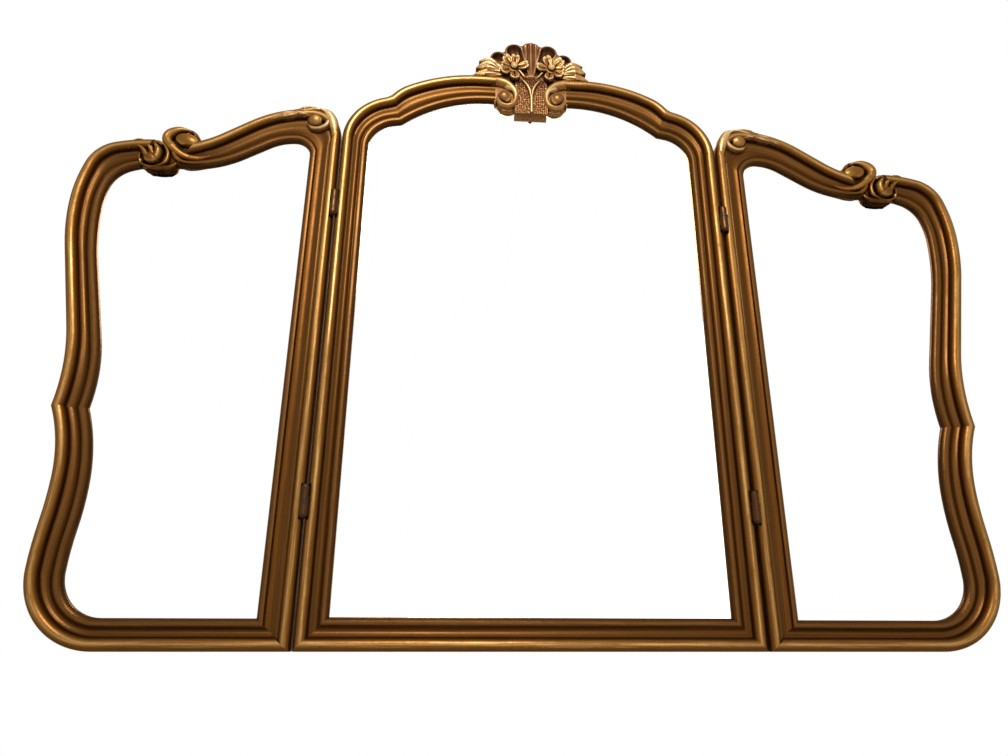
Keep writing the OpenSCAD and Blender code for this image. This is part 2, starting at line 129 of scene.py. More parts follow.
class Nodes:
    """A node tree. node() makes any node, and the other methods are short forms of it."""

    def __init__(self, tree):
        self.tree = tree

    def feed(self, socket, value):
        if isinstance(value, Val):
            self.tree.links.new(value.socket, socket)
        elif socket.type == "RGBA" and len(value) == 3:
            socket.default_value = (*value, 1.0)
        else:
            socket.default_value = value

    def node(self, kind, settings, *inputs, out=0, at=None, **named):
        """Makes a node, its settings first. Sockets go by order, by number in at, or by name."""
        made = self.tree.nodes.new(kind)
        for key, value in settings.items():
            if key == "stops":
                self.fill_ramp(made.color_ramp, value)
            else:
                setattr(made, key, value)
        for key, value in [*enumerate(inputs), *(at or {}).items()]:
            self.feed(made.inputs[key], value)
        for key, value in named.items():
            self.feed(made.inputs[key.replace("_", " ")], value)
        return Val(self, made.outputs[out])

    @staticmethod
    def fill_ramp(ramp, stops):
        while len(ramp.elements) < len(stops):
            ramp.elements.new(0.5)
        for element, (at, colour) in zip(ramp.elements, stops):
            element.position, element.color = at, (*colour, 1.0)

    def ramp(self, value, stops):
        return self.node("ShaderNodeValToRGB", {"stops": stops}, value)

    def mix(self, factor, first, second):
        return self.node(
            "ShaderNodeMix", {"data_type": "RGBA"}, at={0: factor, 6: first, 7: second}, out=2
        )

    def place(self):
        return self.node("ShaderNodeTexCoord", {}, out="Object")

    def noise(self, where, scale, detail=3.0, rough=0.55):
        return self.node(
            "ShaderNodeTexNoise", {}, Vector=where, Scale=scale, Detail=detail, Roughness=rough
        )

    def stretched(self, where, scales):
        return self.node("ShaderNodeMapping", {}, Vector=where, Scale=scales)


class Finish(Nodes):
    """A material and its surface shader."""

    def __init__(self, name):
        self.mat = bpy.data.materials.new(name)
        self.mat.use_nodes = True
        super().__init__(self.mat.node_tree)
        self.shader = self.tree.nodes["Principled BSDF"]

    def set(self, **values):
        for key, value in values.items():
            self.feed(self.shader.inputs[key.replace("_", " ")], value)

    def bump(self, height, strength, depth):
        normal = self.node("ShaderNodeBump", {}, Strength=strength, Distance=depth, Height=height)
        self.set(Normal=normal)


def srgb(r, g, b):
    return tuple(((c / 255 + 0.055) / 1.055) ** 2.4 if c > 10 else c / 3295 for c in (r, g, b))


# pale gold of the painted glint along a bead's crown
GOLD_GLINT = srgb(198, 158, 96)
GOLD_BRIGHT = srgb(176, 132, 70)
GOLD = srgb(114, 73, 29)
GOLD_DEEP = srgb(84, 49, 16)
# deep brown: painted shade in the carving's tones, and the streaks brushed along mouldings
SHADE_AND_STREAK = srgb(48, 25, 7)
# near black: the deepest painted shade in cuts and on the mouldings' hidden sides, and the grime
# specks
DIRT_AND_SHADOW = srgb(24, 12, 5)
BOLE = srgb(88, 34, 16)
RED_BROWN = srgb(98, 56, 38)

# Tone across the moulding: outer side, bead, quirk, fillet, hollow, groove, lip, inner side.
# The colours paint shade on the sides, the bead's flanks, the quirk and the groove, and paint
# highlights on the bead's crown and the lip.
RAIL_TONES = [
    (0.00, DIRT_AND_SHADOW), (0.07, srgb(50, 24, 6)), (0.11, srgb(76, 42, 12)), (0.18, srgb(94, 56, 19)),
    (0.23, GOLD), (0.27, srgb(152, 109, 58)), (0.31, srgb(120, 78, 32)), (0.37, srgb(94, 56, 18)),
    (0.44, srgb(76, 41, 9)), (0.468, srgb(56, 28, 5)), (0.49, srgb(72, 40, 10)),
    (0.52, srgb(84, 52, 21)), (0.57, srgb(88, 55, 23)), (0.63, srgb(85, 51, 18)),
    (0.70, srgb(88, 51, 16)), (0.735, srgb(80, 45, 12)), (0.757, srgb(58, 30, 7)),
    (0.785, srgb(84, 51, 20)), (0.82, srgb(102, 67, 32)), (0.86, srgb(88, 55, 24)),
    (0.89, srgb(70, 40, 13)), (0.93, srgb(46, 24, 8)), (1.00, DIRT_AND_SHADOW),
]
# Tone over carving: 0 deep in a cut, 1 on a crest. These colours paint shade into the cuts
# and a highlight on the crests.
CARVED_TONES = [
    (0.00, DIRT_AND_SHADOW), (0.25, SHADE_AND_STREAK), (0.48, GOLD_DEEP), (0.70, GOLD), (0.98, GOLD_BRIGHT),
]
CREST_TONES = [
    (0.00, DIRT_AND_SHADOW), (0.20, srgb(58, 32, 12)), (0.42, srgb(110, 73, 38)), (0.62, srgb(150, 107, 60)),
    (0.92, srgb(226, 192, 134)),
]


def gilding(name, tones, worn, red=0.0, moulded=False):
    """Old gold leaf over red clay: tone by depth, painted shade and highlight, rubbed spots, grime.

    worn is how far the clay shows through, red how brown the gold has gone, and moulded adds the
    streaks brushed along a moulding and a painted highlight glinting on the crown of its bead."""
    gold = Finish(name)
    lay = gold.node("ShaderNodeUVMap", {"uv_map": "lay"})
    tone = gold.node("ShaderNodeSeparateXYZ", {}, lay, out="X")
    where = gold.place()
    cloudy = gold.noise(where, 38.0, 4.0, 0.6)
    fine = gold.noise(where, 420.0, 3.0, 0.6)
    colour = gold.ramp(tone + (cloudy - 0.5) * 0.05 + (fine - 0.5) * 0.03, tones)
    colour = gold.mix(cloudy.step(0.5, 0.75) * 0.4, colour, GOLD_DEEP)
    if moulded:
        brushed = gold.noise(gold.stretched(lay, (60.0, 8.0, 1.0)), 1.6, 5.0, 0.7)
        colour = gold.mix(brushed.step(0.42, 0.7) * 0.5, colour, SHADE_AND_STREAK)
        pale = gold.noise(gold.stretched(lay, (90.0, 5.0, 1.0)), 1.1, 4.0, 0.7)
        colour = gold.mix(pale.step(0.56, 0.75) * 0.3, colour, GOLD_BRIGHT)
        # painted highlight: pale glints along the bead's crown
        crown = tone.step(0.20, 0.25) * (1.0 - tone.step(0.29, 0.34))
        long = gold.noise(gold.stretched(lay, (30.0, 9.0, 1.0)), 1.0, 5.0, 0.75)
        colour = gold.mix(crown * long.step(0.48, 0.62) * 0.5, colour, GOLD_GLINT)
    rubbed = gold.noise(where, 95.0, 6.0, 0.72)
    wide = gold.noise(where, 9.0, 2.0, 0.5)
    bare = rubbed.step(0.60, 0.66) * wide.step(0.48, 0.62) * worn
    colour = gold.mix(bare, colour, BOLE)
    specks = gold.noise(where, 700.0, 2.0, 0.6).step(0.66, 0.74)
    colour = gold.mix(specks * 0.5, colour, DIRT_AND_SHADOW)
    if red:
        colour = gold.mix(red, colour, RED_BROWN)
    gold.set(
        Base_Color=colour,
        Metallic=0.72 - bare * 0.6 - specks * 0.2,
        Roughness=0.36 + (cloudy - 0.5) * 0.25 + bare * 0.25 + specks * 0.2,
        Specular_IOR_Level=0.15,
        Specular_Tint=(0.9, 0.66, 0.36),
    )
    gold.bump(fine * 0.5 + rubbed * 0.7 + cloudy * 0.8, 0.35, 0.0006)
    return gold.mat


def mirror_finish():
    glass = Finish("silvered_glass")
    faint = glass.noise(glass.place(), 6.0, 2.0)
    glass.set(
        Base_Color=glass.mix(faint.step(0.4, 0.7), (1.0, 1.0, 1.0), (0.997, 0.997, 0.997)),
        Metallic=1.0,
        Roughness=faint.step(0.45, 0.8) * 0.015,
    )
    return glass.mat


def board_finish():
    board = Finish("backing_board")
    where = board.place()
    fibres = board.noise(board.stretched(where, (30.0, 30.0, 400.0)), 1.5, 4.0)
    clouds = board.noise(where, 7.0)
    colour = board.ramp(fibres, [(0.3, srgb(92, 66, 42)), (0.7, srgb(128, 96, 62))])
    colour = board.mix(clouds.step(0.45, 0.75) * 0.5, colour, srgb(78, 54, 34))
    board.set(Base_Color=colour, Roughness=0.75 + (fibres - 0.5) * 0.2)
    board.bump(fibres, 0.3, 0.0004)
    return board.mat


def metal_finish(name, clean, aged, roughness, tarnish):
    metal = Finish(name)
    where = metal.place()
    patches = metal.noise(where, 160.0, 4.0, 0.65)
    scratches = metal.noise(metal.stretched(where, (900.0, 900.0, 60.0)), 1.0, 2.0)
    dull = patches.step(0.42, 0.68) * tarnish
    metal.set(
        Base_Color=metal.mix(dull, clean, aged),
        Metallic=1.0 - dull * 0.4,
        Roughness=roughness + dull * 0.25 + (scratches - 0.5) * 0.12,
    )
    metal.bump(scratches * 0.6 + patches, 0.2, 0.0002)
    return metal.mat


GOLD_RAIL = gilding("gilded_moulding", RAIL_TONES, worn=0.3, moulded=True)
GOLD_CARVED = gilding("gilded_carving", CARVED_TONES, worn=0.35)
GOLD_CREST = gilding("gilded_crest", CREST_TONES, worn=0.3)
GOLD_WORN = gilding("rubbed_carving", CREST_TONES, worn=0.6, red=0.4)
MIRROR = mirror_finish()
BOARD = board_finish()
BRASS = metal_finish("aged_brass", srgb(74, 46, 22), srgb(36, 21, 10), 0.34, 0.9)
STEEL = metal_finish("dull_steel", srgb(168, 166, 160), srgb(92, 84, 76), 0.38, 0.6)

# Outlines. A run is a list of pieces (length, radius, turn), and a start is (u, z, heading), with
# angles in degrees. Where the radius is 0 a piece is straight, with a kink at its end if it turns.

CENTRE_OUTER = [
    (613.5, 0, 0), (0, 67.9, 75), (0, 22, -35), (0, 60, 23), (0, 210, 27), (21.95, 0, 0),
]
CENTRE_INNER = [
    (573.5, 0, 0), (0, 38, 80), (10, 0, -30.5), (0, 175, 12), (0, 175, 28.5), (10.09, 0, 0),
]
WING_OUTER = [
    (192.5, 0, 0), (0, 78.5, 70), (0, 78.5, 20), (0, 380, 7), (0, 380, -7), (0, 190, -24),
    (0, 0, 33), (0, 250, -21.5), (105, 0, 0), (0, 282, 12.5), (0, 188, 17), (0, 45, 18),
    (0, 45, 40), (0, 180, 15),
]
WING_INNER = [
    (154.5, 0, 0), (0, 44, 70), (0, 44, 20), (0, 300, 8), (0, 330, -8), (0, 240, -21),
    (0, 0, 30), (0, 220, -22), (100, 0, 0), (0, 330, 13), (0, 100, 17), (0, 35, 17),
    (0, 35, 38), (10, 0, 0),
]
SEAM_OUTER = [(616, 0, 0), (0, 38.5, -90), (0, 140, -33), (40, 0, 0), (0, 119, 13)]
SEAM_INNER = [(557, 0, 0), (0, 20, -90), (0, 60, -31), (35, 0, 0), (0, 135, 36)]

# Outer run and start, sight run and start, and 1 where the wood lies to the left of them, else -1
RUNS = {
    "centre": (CENTRE_OUTER, (HALF_W, 0, 90), CENTRE_INNER, (HALF_W - MEMBER_W, MEMBER_W, 90), 1),
    "wing": (WING_OUTER, (WING_U, 0, 0), WING_INNER, (WING_U + SEAM_W, RAIL_W, 0), 1),
    "seam": (SEAM_OUTER, (WING_U, 0, 90), SEAM_INNER, (WING_U + SEAM_W, RAIL_W, 90), -1),
    "foot": ([(491, 0, 0)], (-HALF_W, 0, 0), [(426, 0, 0)], (MEMBER_W - HALF_W, MEMBER_W, 0), 1),
}


def next_pose(pose, piece):
    u, z, head = pose
    length, radius, turn = piece
    if radius == 0:
        return u + length * math.cos(head), z + length * math.sin(head), head + math.radians(turn)
    r, g = math.copysign(radius, turn), head + math.radians(turn)
    return u + r * (math.sin(g) - math.sin(head)), z + r * (math.cos(head) - math.cos(g)), g


def poses(start, run):
    """The pose (u, z, heading) at the start of each piece of a run, and at its end."""
    found = [(start[0], start[1], math.radians(start[2]))]
    for piece in run:
        found.append(next_pose(found[-1], piece))
    return found


def stations(run, start, other, first, last):
    """Poses along some pieces of a run, as many in each as its bend or the other run's asks."""
    at = poses(start, run)
    out = []
    for i in range(first, last + 1):
        length, radius, turn = run[i]
        bends = [abs(piece[2]) for piece in (run[i], other[i]) if piece[1]]
        n = max(1, math.ceil(max(bends) / STATION_DEG)) if bends else 1
        for j in range(0 if i == first else 1, n + 1):
            share = j / n
            part = (length * share, 0, 0) if radius == 0 else (0, radius, turn * share)
            out.append(next_pose(at[i], part))
    return out


# Mouldings


def rail_section():
    """The section's points: (measured from, distance, height, tone).

    A distance is in from the outer edge or in from the sight edge in millimetres, or a share of the
    way across the hollow."""
    rows = [("outer", 0.0, 0.0, 0.0), ("outer", 0.0, 7.0, 0.03), ("outer", 0.0, 13.5, 0.07)]
    steps = 20
    for i in range(steps + 1):
        angle = math.radians(180 - 180 * i / steps)
        rows.append(("outer", BEAD_R + BEAD_R * math.cos(angle),
                     SIDE_H - 0.1 + BEAD_R * math.sin(angle), 0.08 + 0.36 * i / steps))
    rows += [
        ("outer", 12.95, 13.6, 0.46), ("outer", HOLLOW_IN, 13.0, 0.475),
        ("hollow", 0.02, 13.0, 0.49), ("hollow", 0.07, 13.6, 0.51), ("hollow", 0.2, 13.7, 0.55),
    ]
    steps = 8
    for i in range(1, steps + 1):
        k = i / steps
        rows.append(("hollow", 0.2 + 0.74 * k, 13.7 - 1.9 * math.sin(math.pi * k) - 0.5 * k,
                     0.55 + 0.18 * k))
    rows += [
        ("hollow", 0.98, 12.5, 0.755), ("sight", 8.3, 12.4, 0.765), ("sight", 7.9, 13.4, 0.785),
    ]
    steps = 5
    for i in range(steps + 1):
        k = i / steps
        rows.append(("sight", 7.4 - 4.2 * k, 13.9 + 0.6 * math.sin(math.pi * (0.15 + 0.75 * k)),
                     0.79 + 0.06 * k))
    return rows + [
        ("sight", 3.0, 13.3, 0.87), ("sight", 2.4, 12.9, 0.88), ("sight", 1.2, 11.8, 0.90),
        ("sight", 0.0, 10.2, 0.94), ("sight", 0.0, REBATE_H, 0.98),
        ("sight", REBATE_W, REBATE_H, 1.0), ("sight", REBATE_W, 0.0, 0.0),
    ]


SECTION = rail_section()


def row_point(u, z, h, side):
    return (side * u / 1000, -h / 1000, (z - HANG_Z) / 1000)


def smooth(mesh, crease):
    mesh.shade_smooth()
    mesh.set_sharp_from_angle(angle=math.radians(crease))


def new_piece(name, verts, faces, lay, mat, crease):
    """A mesh object, with the tone and the place along the piece laid on it as a UV layer."""
    mesh = bpy.data.meshes.new(name)
    mesh.from_pydata(verts, [], faces)
    mesh.materials.append(mat)
    layer = mesh.uv_layers.new(name="lay")
    corner = np.empty(len(mesh.loops), dtype=np.int32)
    mesh.loops.foreach_get("vertex_index", corner)
    layer.data.foreach_set("uv", np.asarray(lay, dtype=np.float32)[corner].ravel())
    smooth(mesh, crease)
    made = bpy.data.objects.new(name, mesh)
    bpy.context.scene.collection.objects.link(made)
    return made


def belongs(made, body, node):
    """Says which body the piece rides on, and the node it stands for, if any."""
    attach(made, body)
    if node:
        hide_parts(node)


def loft_rail(name, runs, first, last, side, body):
    """A member: the section carried along matched pieces of an outer and a sight run."""
    outer, outer_start, sight, sight_start, wood = RUNS[runs]
    verts, lay, travelled = [], [], 0.0
    for p, q in zip(stations(outer, outer_start, sight, first, last),
                    stations(sight, sight_start, outer, first, last)):
        a, b = np.array(p[:2]), np.array(q[:2])
        e = (b - a) / np.linalg.norm(b - a)
        # distances square to each edge, measured along the line from a to b
        out = 1 / abs(e @ (-math.sin(p[2]), math.cos(p[2])))
        back = 1 / abs(e @ (-math.sin(q[2]), math.cos(q[2])))
        near, far = a + e * HOLLOW_IN * out, b - e * LIP_W * back
        if verts:
            travelled += np.linalg.norm((a + b) / 2 - middle)
        middle = (a + b) / 2
        for origin, x, h, tone in SECTION:
            u, z = {"outer": a + e * x * out, "sight": b - e * x * back,
                    "hollow": near + (far - near) * x}[origin]
            verts.append(row_point(u, z, h, side))
            lay.append((tone, travelled / 1000))
    n, end = len(SECTION), len(verts) - len(SECTION)
    faces = [tuple(range(n)), tuple(range(len(verts) - 1, end - 1, -1))]
    for k in range(0, end, n):
        for j in range(n):
            g = (j + 1) % n
            faces.append((k + g, k + j, k + n + j, k + n + g))
    if wood * side < 0:
        faces = [face[::-1] for face in faces]
    made = new_piece(name + "_carved", verts, faces, lay, GOLD_RAIL, RAIL_CREASE)
    belongs(made, body, name)
    return made


def cut_pockets(made, side):
    """The rounded recesses that the hinge barrels lie in."""
    for z in HINGE_Z:
        bm = bmesh.new()
        at = Matrix.Translation(row_point(SEAM_U, z - POCKET_DROP, HINGE_H, side))
        bmesh.ops.create_cone(
            bm, cap_ends=True, segments=48, radius1=POCKET_R / 1000, radius2=POCKET_R / 1000,
            depth=POCKET_L / 1000, matrix=at,
        )
        mesh = bpy.data.meshes.new("pocket")
        bm.to_mesh(mesh)
        bm.free()
        mesh.uv_layers.new(name="lay")
        cutter = bpy.data.objects.new("pocket", mesh)
        bpy.context.scene.collection.objects.link(cutter)
        cut = made.modifiers.new("pocket", "BOOLEAN")
        cut.operation, cut.solver, cut.object = "DIFFERENCE", "EXACT", cutter
        bpy.context.view_layer.update()
        dg = bpy.context.evaluated_depsgraph_get()
        carved = bpy.data.meshes.new_from_object(made.evaluated_get(dg))
        made.modifiers.remove(cut)
        made.data = carved
        bpy.data.objects.remove(cutter)
    smooth(made.data, RAIL_CREASE)


# Member, run, first and last piece of the run
for member, runs, first, last in (
    ("stile", "centre", 0, 0), ("shoulder", "centre", 1, 2), ("arch", "centre", 3, 5),
):
    for side, hand in HANDS:
        made = loft_rail(f"centre_{hand}_{member}", runs, first, last, side, "centre_panel")
        if member == "stile":
            cut_pockets(made, side)
loft_rail("centre_bottom_rail", "foot", 0, 0, 1, "centre_panel")

for member, runs, first, last in (
    ("inner_stile", "seam", 0, 0), ("top_rail", "seam", 1, 4), ("bottom_rail", "wing", 0, 1),
    ("lower_stile", "wing", 2, 5), ("upper_stile", "wing", 7, 11), ("shoulder", "wing", 12, 13),
):
    for side, hand in HANDS:
        made = loft_rail(f"{hand}_{member}", runs, first, last, side, f"{hand}_wing")
        if member == "inner_stile":
            cut_pockets(made, side)

# Carving


def eased(x, low, high):
    t = np.clip((x - low) / (high - low), 0, 1)
    return t * t * (3 - 2 * t)


def smooth_line(points, n=8):
    """A Catmull-Rom line through points."""
    pts = [points[0], *points, points[-1]]
    out = []
    for a, b, c, d in zip(pts, pts[1:], pts[2:], pts[3:]):
        for i in range(n):
            t = i / n
            out.append(tuple(
                0.5 * (2 * q + (r - p) * t + (2 * p - 5 * q + 4 * r - s) * t * t
                       + (3 * q - p - 3 * r + s) * t ** 3)
                for p, q, r, s in zip(a, b, c, d)
            ))
    out.append(tuple(points[-1]))
    return out


def along(share, values):
    """Values spread evenly along a line, at the given shares of its length. A number stays."""
    if isinstance(values, (int, float)):
        return values
    return np.interp(share, np.linspace(0, 1, len(values)), values)


def corners_of(grid):
    """The values at the four corners of each cell of a grid."""
    return grid[:-1, :-1], grid[1:, :-1], grid[:-1, 1:], grid[1:, 1:]


class Relief:
    """Carving as heights over a patch of the wall's plane. edge is positive inside the outline."""

    def __init__(self, u0, u1, z0, z1, step):
        self.U, self.Z = np.meshgrid(np.arange(u0, u1 + step, step), np.arange(z0, z1 + step, step))
        self.step = step
        self.h = np.full(self.U.shape, -1e3)
        self.edge = np.full(self.U.shape, -1e3)

    def near(self, points):
        """Distance to a smooth line through points, and the share of its length passed by there."""
        pts = np.asarray(smooth_line(points), float)
        lengths = np.hypot(*np.diff(pts, axis=0).T)
        sums = np.concatenate([[0], np.cumsum(lengths)])
        best = np.full(self.U.shape, 1e9)
        share = np.zeros(self.U.shape)
        for a, b, length, passed in zip(pts[:-1], pts[1:], lengths, sums):
            du, dz = (b - a) / length
            run = np.clip((self.U - a[0]) * du + (self.Z - a[1]) * dz, 0, length)
            d = np.hypot(self.U - a[0] - run * du, self.Z - a[1] - run * dz)
            hit = d < best
            best[hit] = d[hit]
            share[hit] = ((passed + run) / sums[-1])[hit]
        return best, share

    def add(self, edge, h):
        """Lays a form over what is there: the higher of the two shows."""
        over = (edge > 0) & ((self.edge <= 0) | (h > self.h))
        self.h = np.where(over, h, self.h)
        self.edge = np.maximum(self.edge, edge)

    def strand(self, points, width, base, crown, power=0.5):
        """A round strand along a line. width, base and crown are numbers or lists along it."""
        d, share = self.near(points)
        w, b, c = along(share, width), along(share, base), along(share, crown)
        self.add(w - d, b + c * np.clip(1 - (d / np.maximum(w, 0.01)) ** 2, 0, 1) ** power)

    def boss(self, u, z, ru, rz, base, crown, turn=0.0, power=0.5):
        """A rounded oval button, turned by some degrees."""
        c, s = math.cos(math.radians(turn)), math.sin(math.radians(turn))
        x = ((self.U - u) * c + (self.Z - z) * s) / ru
        y = (-(self.U - u) * s + (self.Z - z) * c) / rz
        d = np.hypot(x, y)
        self.add((1 - d) * min(ru, rz), base + crown * np.clip(1 - d ** 2, 0, 1) ** power)

    def leaf(self, points, width, base, rise, veins, lobes, depth):
        """A leaf along a line: lobed edge, sunk midrib, ribs fanning to the lobes."""
        d, share = self.near(points)
        w = along(share, width)
        w = w * (0.78 + 0.22 * np.abs(np.sin(np.pi * lobes * np.clip(share, 0, 0.999))))
        t = d / np.maximum(w, 0.01)
        ribs = 0.35 * depth * np.cos(2 * np.pi * (veins * share - 1.3 * t)) * np.clip(t * 3, 0, 1)
        midrib = -0.8 * depth * np.exp(-(d / 0.9) ** 2)
        body = rise * np.clip(1 - t ** 2.4, 0, 1) ** 0.6
        self.add(w - d, along(share, base) + body + (ribs + midrib) * np.clip(1 - t ** 6, 0, 1))

    def cut(self, points, width, depth):
        """A groove along a line."""
        d, _ = self.near(points)
        self.h -= depth * np.exp(-(d / width) ** 2)

    def trim(self, inside):
        self.edge = np.minimum(self.edge, inside)

    def mean_near(self, offsets):
        """The mean height of the carved points at offsets round each point, and their number."""
        inside = self.edge > 0
        total, count = np.zeros(self.h.shape), np.zeros(self.h.shape)
        for dz in offsets:
            for du in offsets:
                good = np.roll(inside, (dz, du), (0, 1))
                total += np.where(good, np.roll(self.h, (dz, du), (0, 1)), 0)
                count += good
        return total / np.maximum(count, 1), count

    def tone(self):
        """How far each point stands above its surroundings, as a tone: painted shade in hollows and
        a painted highlight on raised parts.
        """
        mean, _ = self.mean_near(range(-6, 7, 2))
        return np.clip(0.62 + 0.30 * (self.h - mean), 0.02, 1.0)

    def drawn_in(self):
        """The grid with the points just outside the outline drawn in to it, and which they are."""
        pull = (self.edge <= 0) & (self.edge > -1.6 * self.step)
        ez, eu = np.gradient(self.edge, self.step)
        steep = np.maximum(np.hypot(eu, ez), 1e-3)
        move = np.where(pull, -self.edge / steep, 0)
        mean, count = self.mean_near((-1, 0, 1))
        h = np.where(pull & (count > 0), mean, self.h)
        return self.U + move * eu / steep, self.Z + move * ez / steep, h, pull

    def piece(self, name, node, side, body, floor, mat, slot, shade=0.0, rim=0.3):
        """The carving as a closed mesh from its top surface down to the height floor.

        shade darkens the tone as painted shade, or where negative lightens it as a painted
        highlight, and rim is the least tone near the outline and down the sides."""
        inside = self.edge > 0
        U, Z, h, pull = self.drawn_in()
        floor = np.broadcast_to(floor, h.shape)
        h = np.maximum(h, floor + 0.3)
        tone = np.maximum(self.tone(), rim * eased(2.6 - self.edge, 0, 1.2))
        tone = np.where(inside, np.clip(tone - shade, 0.02, 1.0), rim)
        rows, cols = np.nonzero(
            np.all(corners_of(inside | pull), axis=0) & np.any(corners_of(inside), axis=0)
        )
        corners = [(rows, cols), (rows, cols + 1), (rows + 1, cols + 1), (rows + 1, cols)]
        used = np.zeros(h.shape, dtype=bool)
        for corner in corners:
            used[corner] = True
        index = np.cumsum(used).reshape(h.shape) - 1
        quads = np.stack([index[corner] for corner in corners], axis=1).tolist()
        edges = dict.fromkeys((a, b) for quad in quads for a, b in zip(quad, quad[1:] + quad[:1]))
        n = np.count_nonzero(used)
        faces = quads + [[n + i for i in quad[::-1]] for quad in quads]
        faces += [[b, a, n + a, n + b] for a, b in edges if (b, a) not in edges]
        if side > 0:
            faces = [face[::-1] for face in faces]
        verts = [row_point(*p, side) for p in zip(U[used], Z[used], h[used])]
        verts += [row_point(*p, side) for p in zip(U[used], Z[used], floor[used])]
        lay = list(zip(tone[used], (self.U + self.Z)[used] / 1000))
        lay += [(rim * 0.8 if low > 2.5 else 0.18, 0.0) for low in floor[used]]
        made = new_piece(name, verts, faces, lay, mat, CARVED_CREASE)
        belongs(made, body, node)


# Crest

FAN_Z = TOP_Z - 12
# The shell's lobes: (distance from the fan's centre, radius, lean)
LOBES = ((61, 11.5, 47), (59, 13.0, 23), (57, 14.5, 0), (59, 13.0, -23), (61, 11.5, -47))
# The flowers' petals: (turn, reach, width)
LEFT_PETALS = (
    (82, 19, 7.0), (14, 21, 6.8), (128, 21, 7.2), (206, 20, 7.6), (172, 18, 5.5), (276, 21, 7.2),
)
RIGHT_PETALS = (
    (174, 21, 6.8), (110, 20, 7.2), (42, 22, 7.4), (-2, 19, 6.2), (-38, 20, 7.0), (-102, 21, 7.2),
)
PETAL_SHARES, PETAL_WIDTHS = (0, 0.2, 0.45, 0.7, 0.88, 0.96, 1), (0.3, 0.5, 0.85, 1, 0.8, 0.5, 0.05)
PUNCH_GAP = 2.8


def carve_shell():
    shell = Relief(-62, 62, 722, 789, 0.45)
    up = shell.Z - FAN_Z
    radius, angle = np.hypot(shell.U, up), np.degrees(np.arctan2(shell.U, up))
    outline = np.minimum(66.5 - 0.0012 * angle ** 2 - radius, 60 - np.abs(angle))
    h = np.full(shell.U.shape, 19.8)
    for far, r, lean in LOBES:
        s, c = math.sin(math.radians(lean)), math.cos(math.radians(lean))
        outline = np.maximum(outline, r - np.hypot(shell.U - far * s, up - far * c))
        out, across = shell.U * s + up * c, shell.U * c - up * s
        w = (r - 2.4) * np.clip(out / far, 0.05, 1.0)
        t = np.where(out < far, np.abs(across) / w, np.hypot(across, out - far) / w)
        scoop, grow = np.clip(1 - t ** 2, 0, 1) ** 0.6, eased(out, 8, 42)
        if lean:
            h = h - 9.0 * scoop * grow + 0.3 * scoop * np.cos(2 * np.pi * across / 5.2) * grow
        else:
            flutes = 0.5 - 0.5 * np.cos(2 * np.pi * across / 6.6)
            h = h - (1.6 * scoop + 1.5 * flutes * np.clip(1.6 - t, 0, 1)) * grow
    outline = np.minimum(outline, shell.Z - 723)
    shell.add(outline, h - 1.4 * np.exp(-(outline / 1.4) ** 2))
    # darker overall, with painted shade deepening outwards over the lobes
    shell.piece("crest_shell_carved", "crest_shell", 1, "centre_panel", 2.0, GOLD_WORN,
                "worn_gilding", shade=0.14 + eased(radius, 50, 72) * 0.26)


def carve_flower(hand, u, z, petals):
    flower = Relief(u - 28, u + 28, z - 28, z + 25, 0.4)
    for turn, reach, wide in petals:
        c, s = math.cos(math.radians(turn)), math.sin(math.radians(turn))
        out = (flower.U - u) * c + (flower.Z - z) * s
        across = -(flower.U - u) * s + (flower.Z - z) * c
        k = np.clip(out / reach, 0, 1)
        w = wide * np.interp(k, PETAL_SHARES, PETAL_WIDTHS)
        t = np.clip(np.abs(across) / w, 0, 1)
        edge = np.minimum(np.minimum(w - np.abs(across), out + 2), reach - out)
        spoon = 19.4 + 4.2 * k + 2.6 * t ** 2 - 1.5 * np.exp(-(across / 0.9) ** 2) * (1 - 0.6 * k)
        spoon = spoon - 0.5 * np.cos(2 * np.pi * across / 3.4) * k * (1 - k)
        tip = 1.6 * eased(k, 0.7, 0.95) - 3.2 * (1 - np.clip(edge / 2.2, 0, 1)) ** 2
        flower.add(edge, spoon + tip)
    flower.boss(u, z, 6.8, 6.8, 21.0, 0.8)
    flower.boss(u + 0.5, z + 0.8, 4.9, 5.1, 22.6, 5.6)
    flower.cut([(u - 3, z - 1.0), (u + 2.5, z + 1.5)], 0.6, 0.6)
    # painted shade on the flower's middle, turning into a painted highlight on the petals' tips
    out = np.hypot(flower.U - u, flower.Z - z)
    flower.piece(f"crest_{hand}_flower_carved", f"crest_{hand}_flower", 1, "centre_panel", 17.0,
                 GOLD_CREST, "gilded_wood", shade=0.14 - 0.30 * eased(out, 11, 19), rim=0.2)


def carve_leaves(side, name, node):
    leaves = Relief(38, 81, 723.6, 753, 0.4)
    for line, width, base, rise, lobes, depth in (
        (((42, 729), (58, 730), (80, 725)), (5, 7, 7.5, 5.5, 0.6), (15, 17, 13), 4.0, 2, 1.0),
        (((44, 740), (58, 746), (71, 747)), (6, 9, 8.5, 5.5, 0.5), (15, 18, 16), 4.2, 1.5, 1.4),
        (((44, 733), (60, 739), (75, 735)), (5, 8, 8.5, 6.5, 0.6), (17, 19.5, 16), 4.4, 1.5, 1.6),
    ):
        leaves.leaf(line, width, base, rise, 1.5, lobes, depth)
    leaves.trim(leaves.Z - 724)
    leaves.piece(name, node, side, "centre_panel", 2.0, GOLD_CREST, "gilded_wood", rim=0.45)


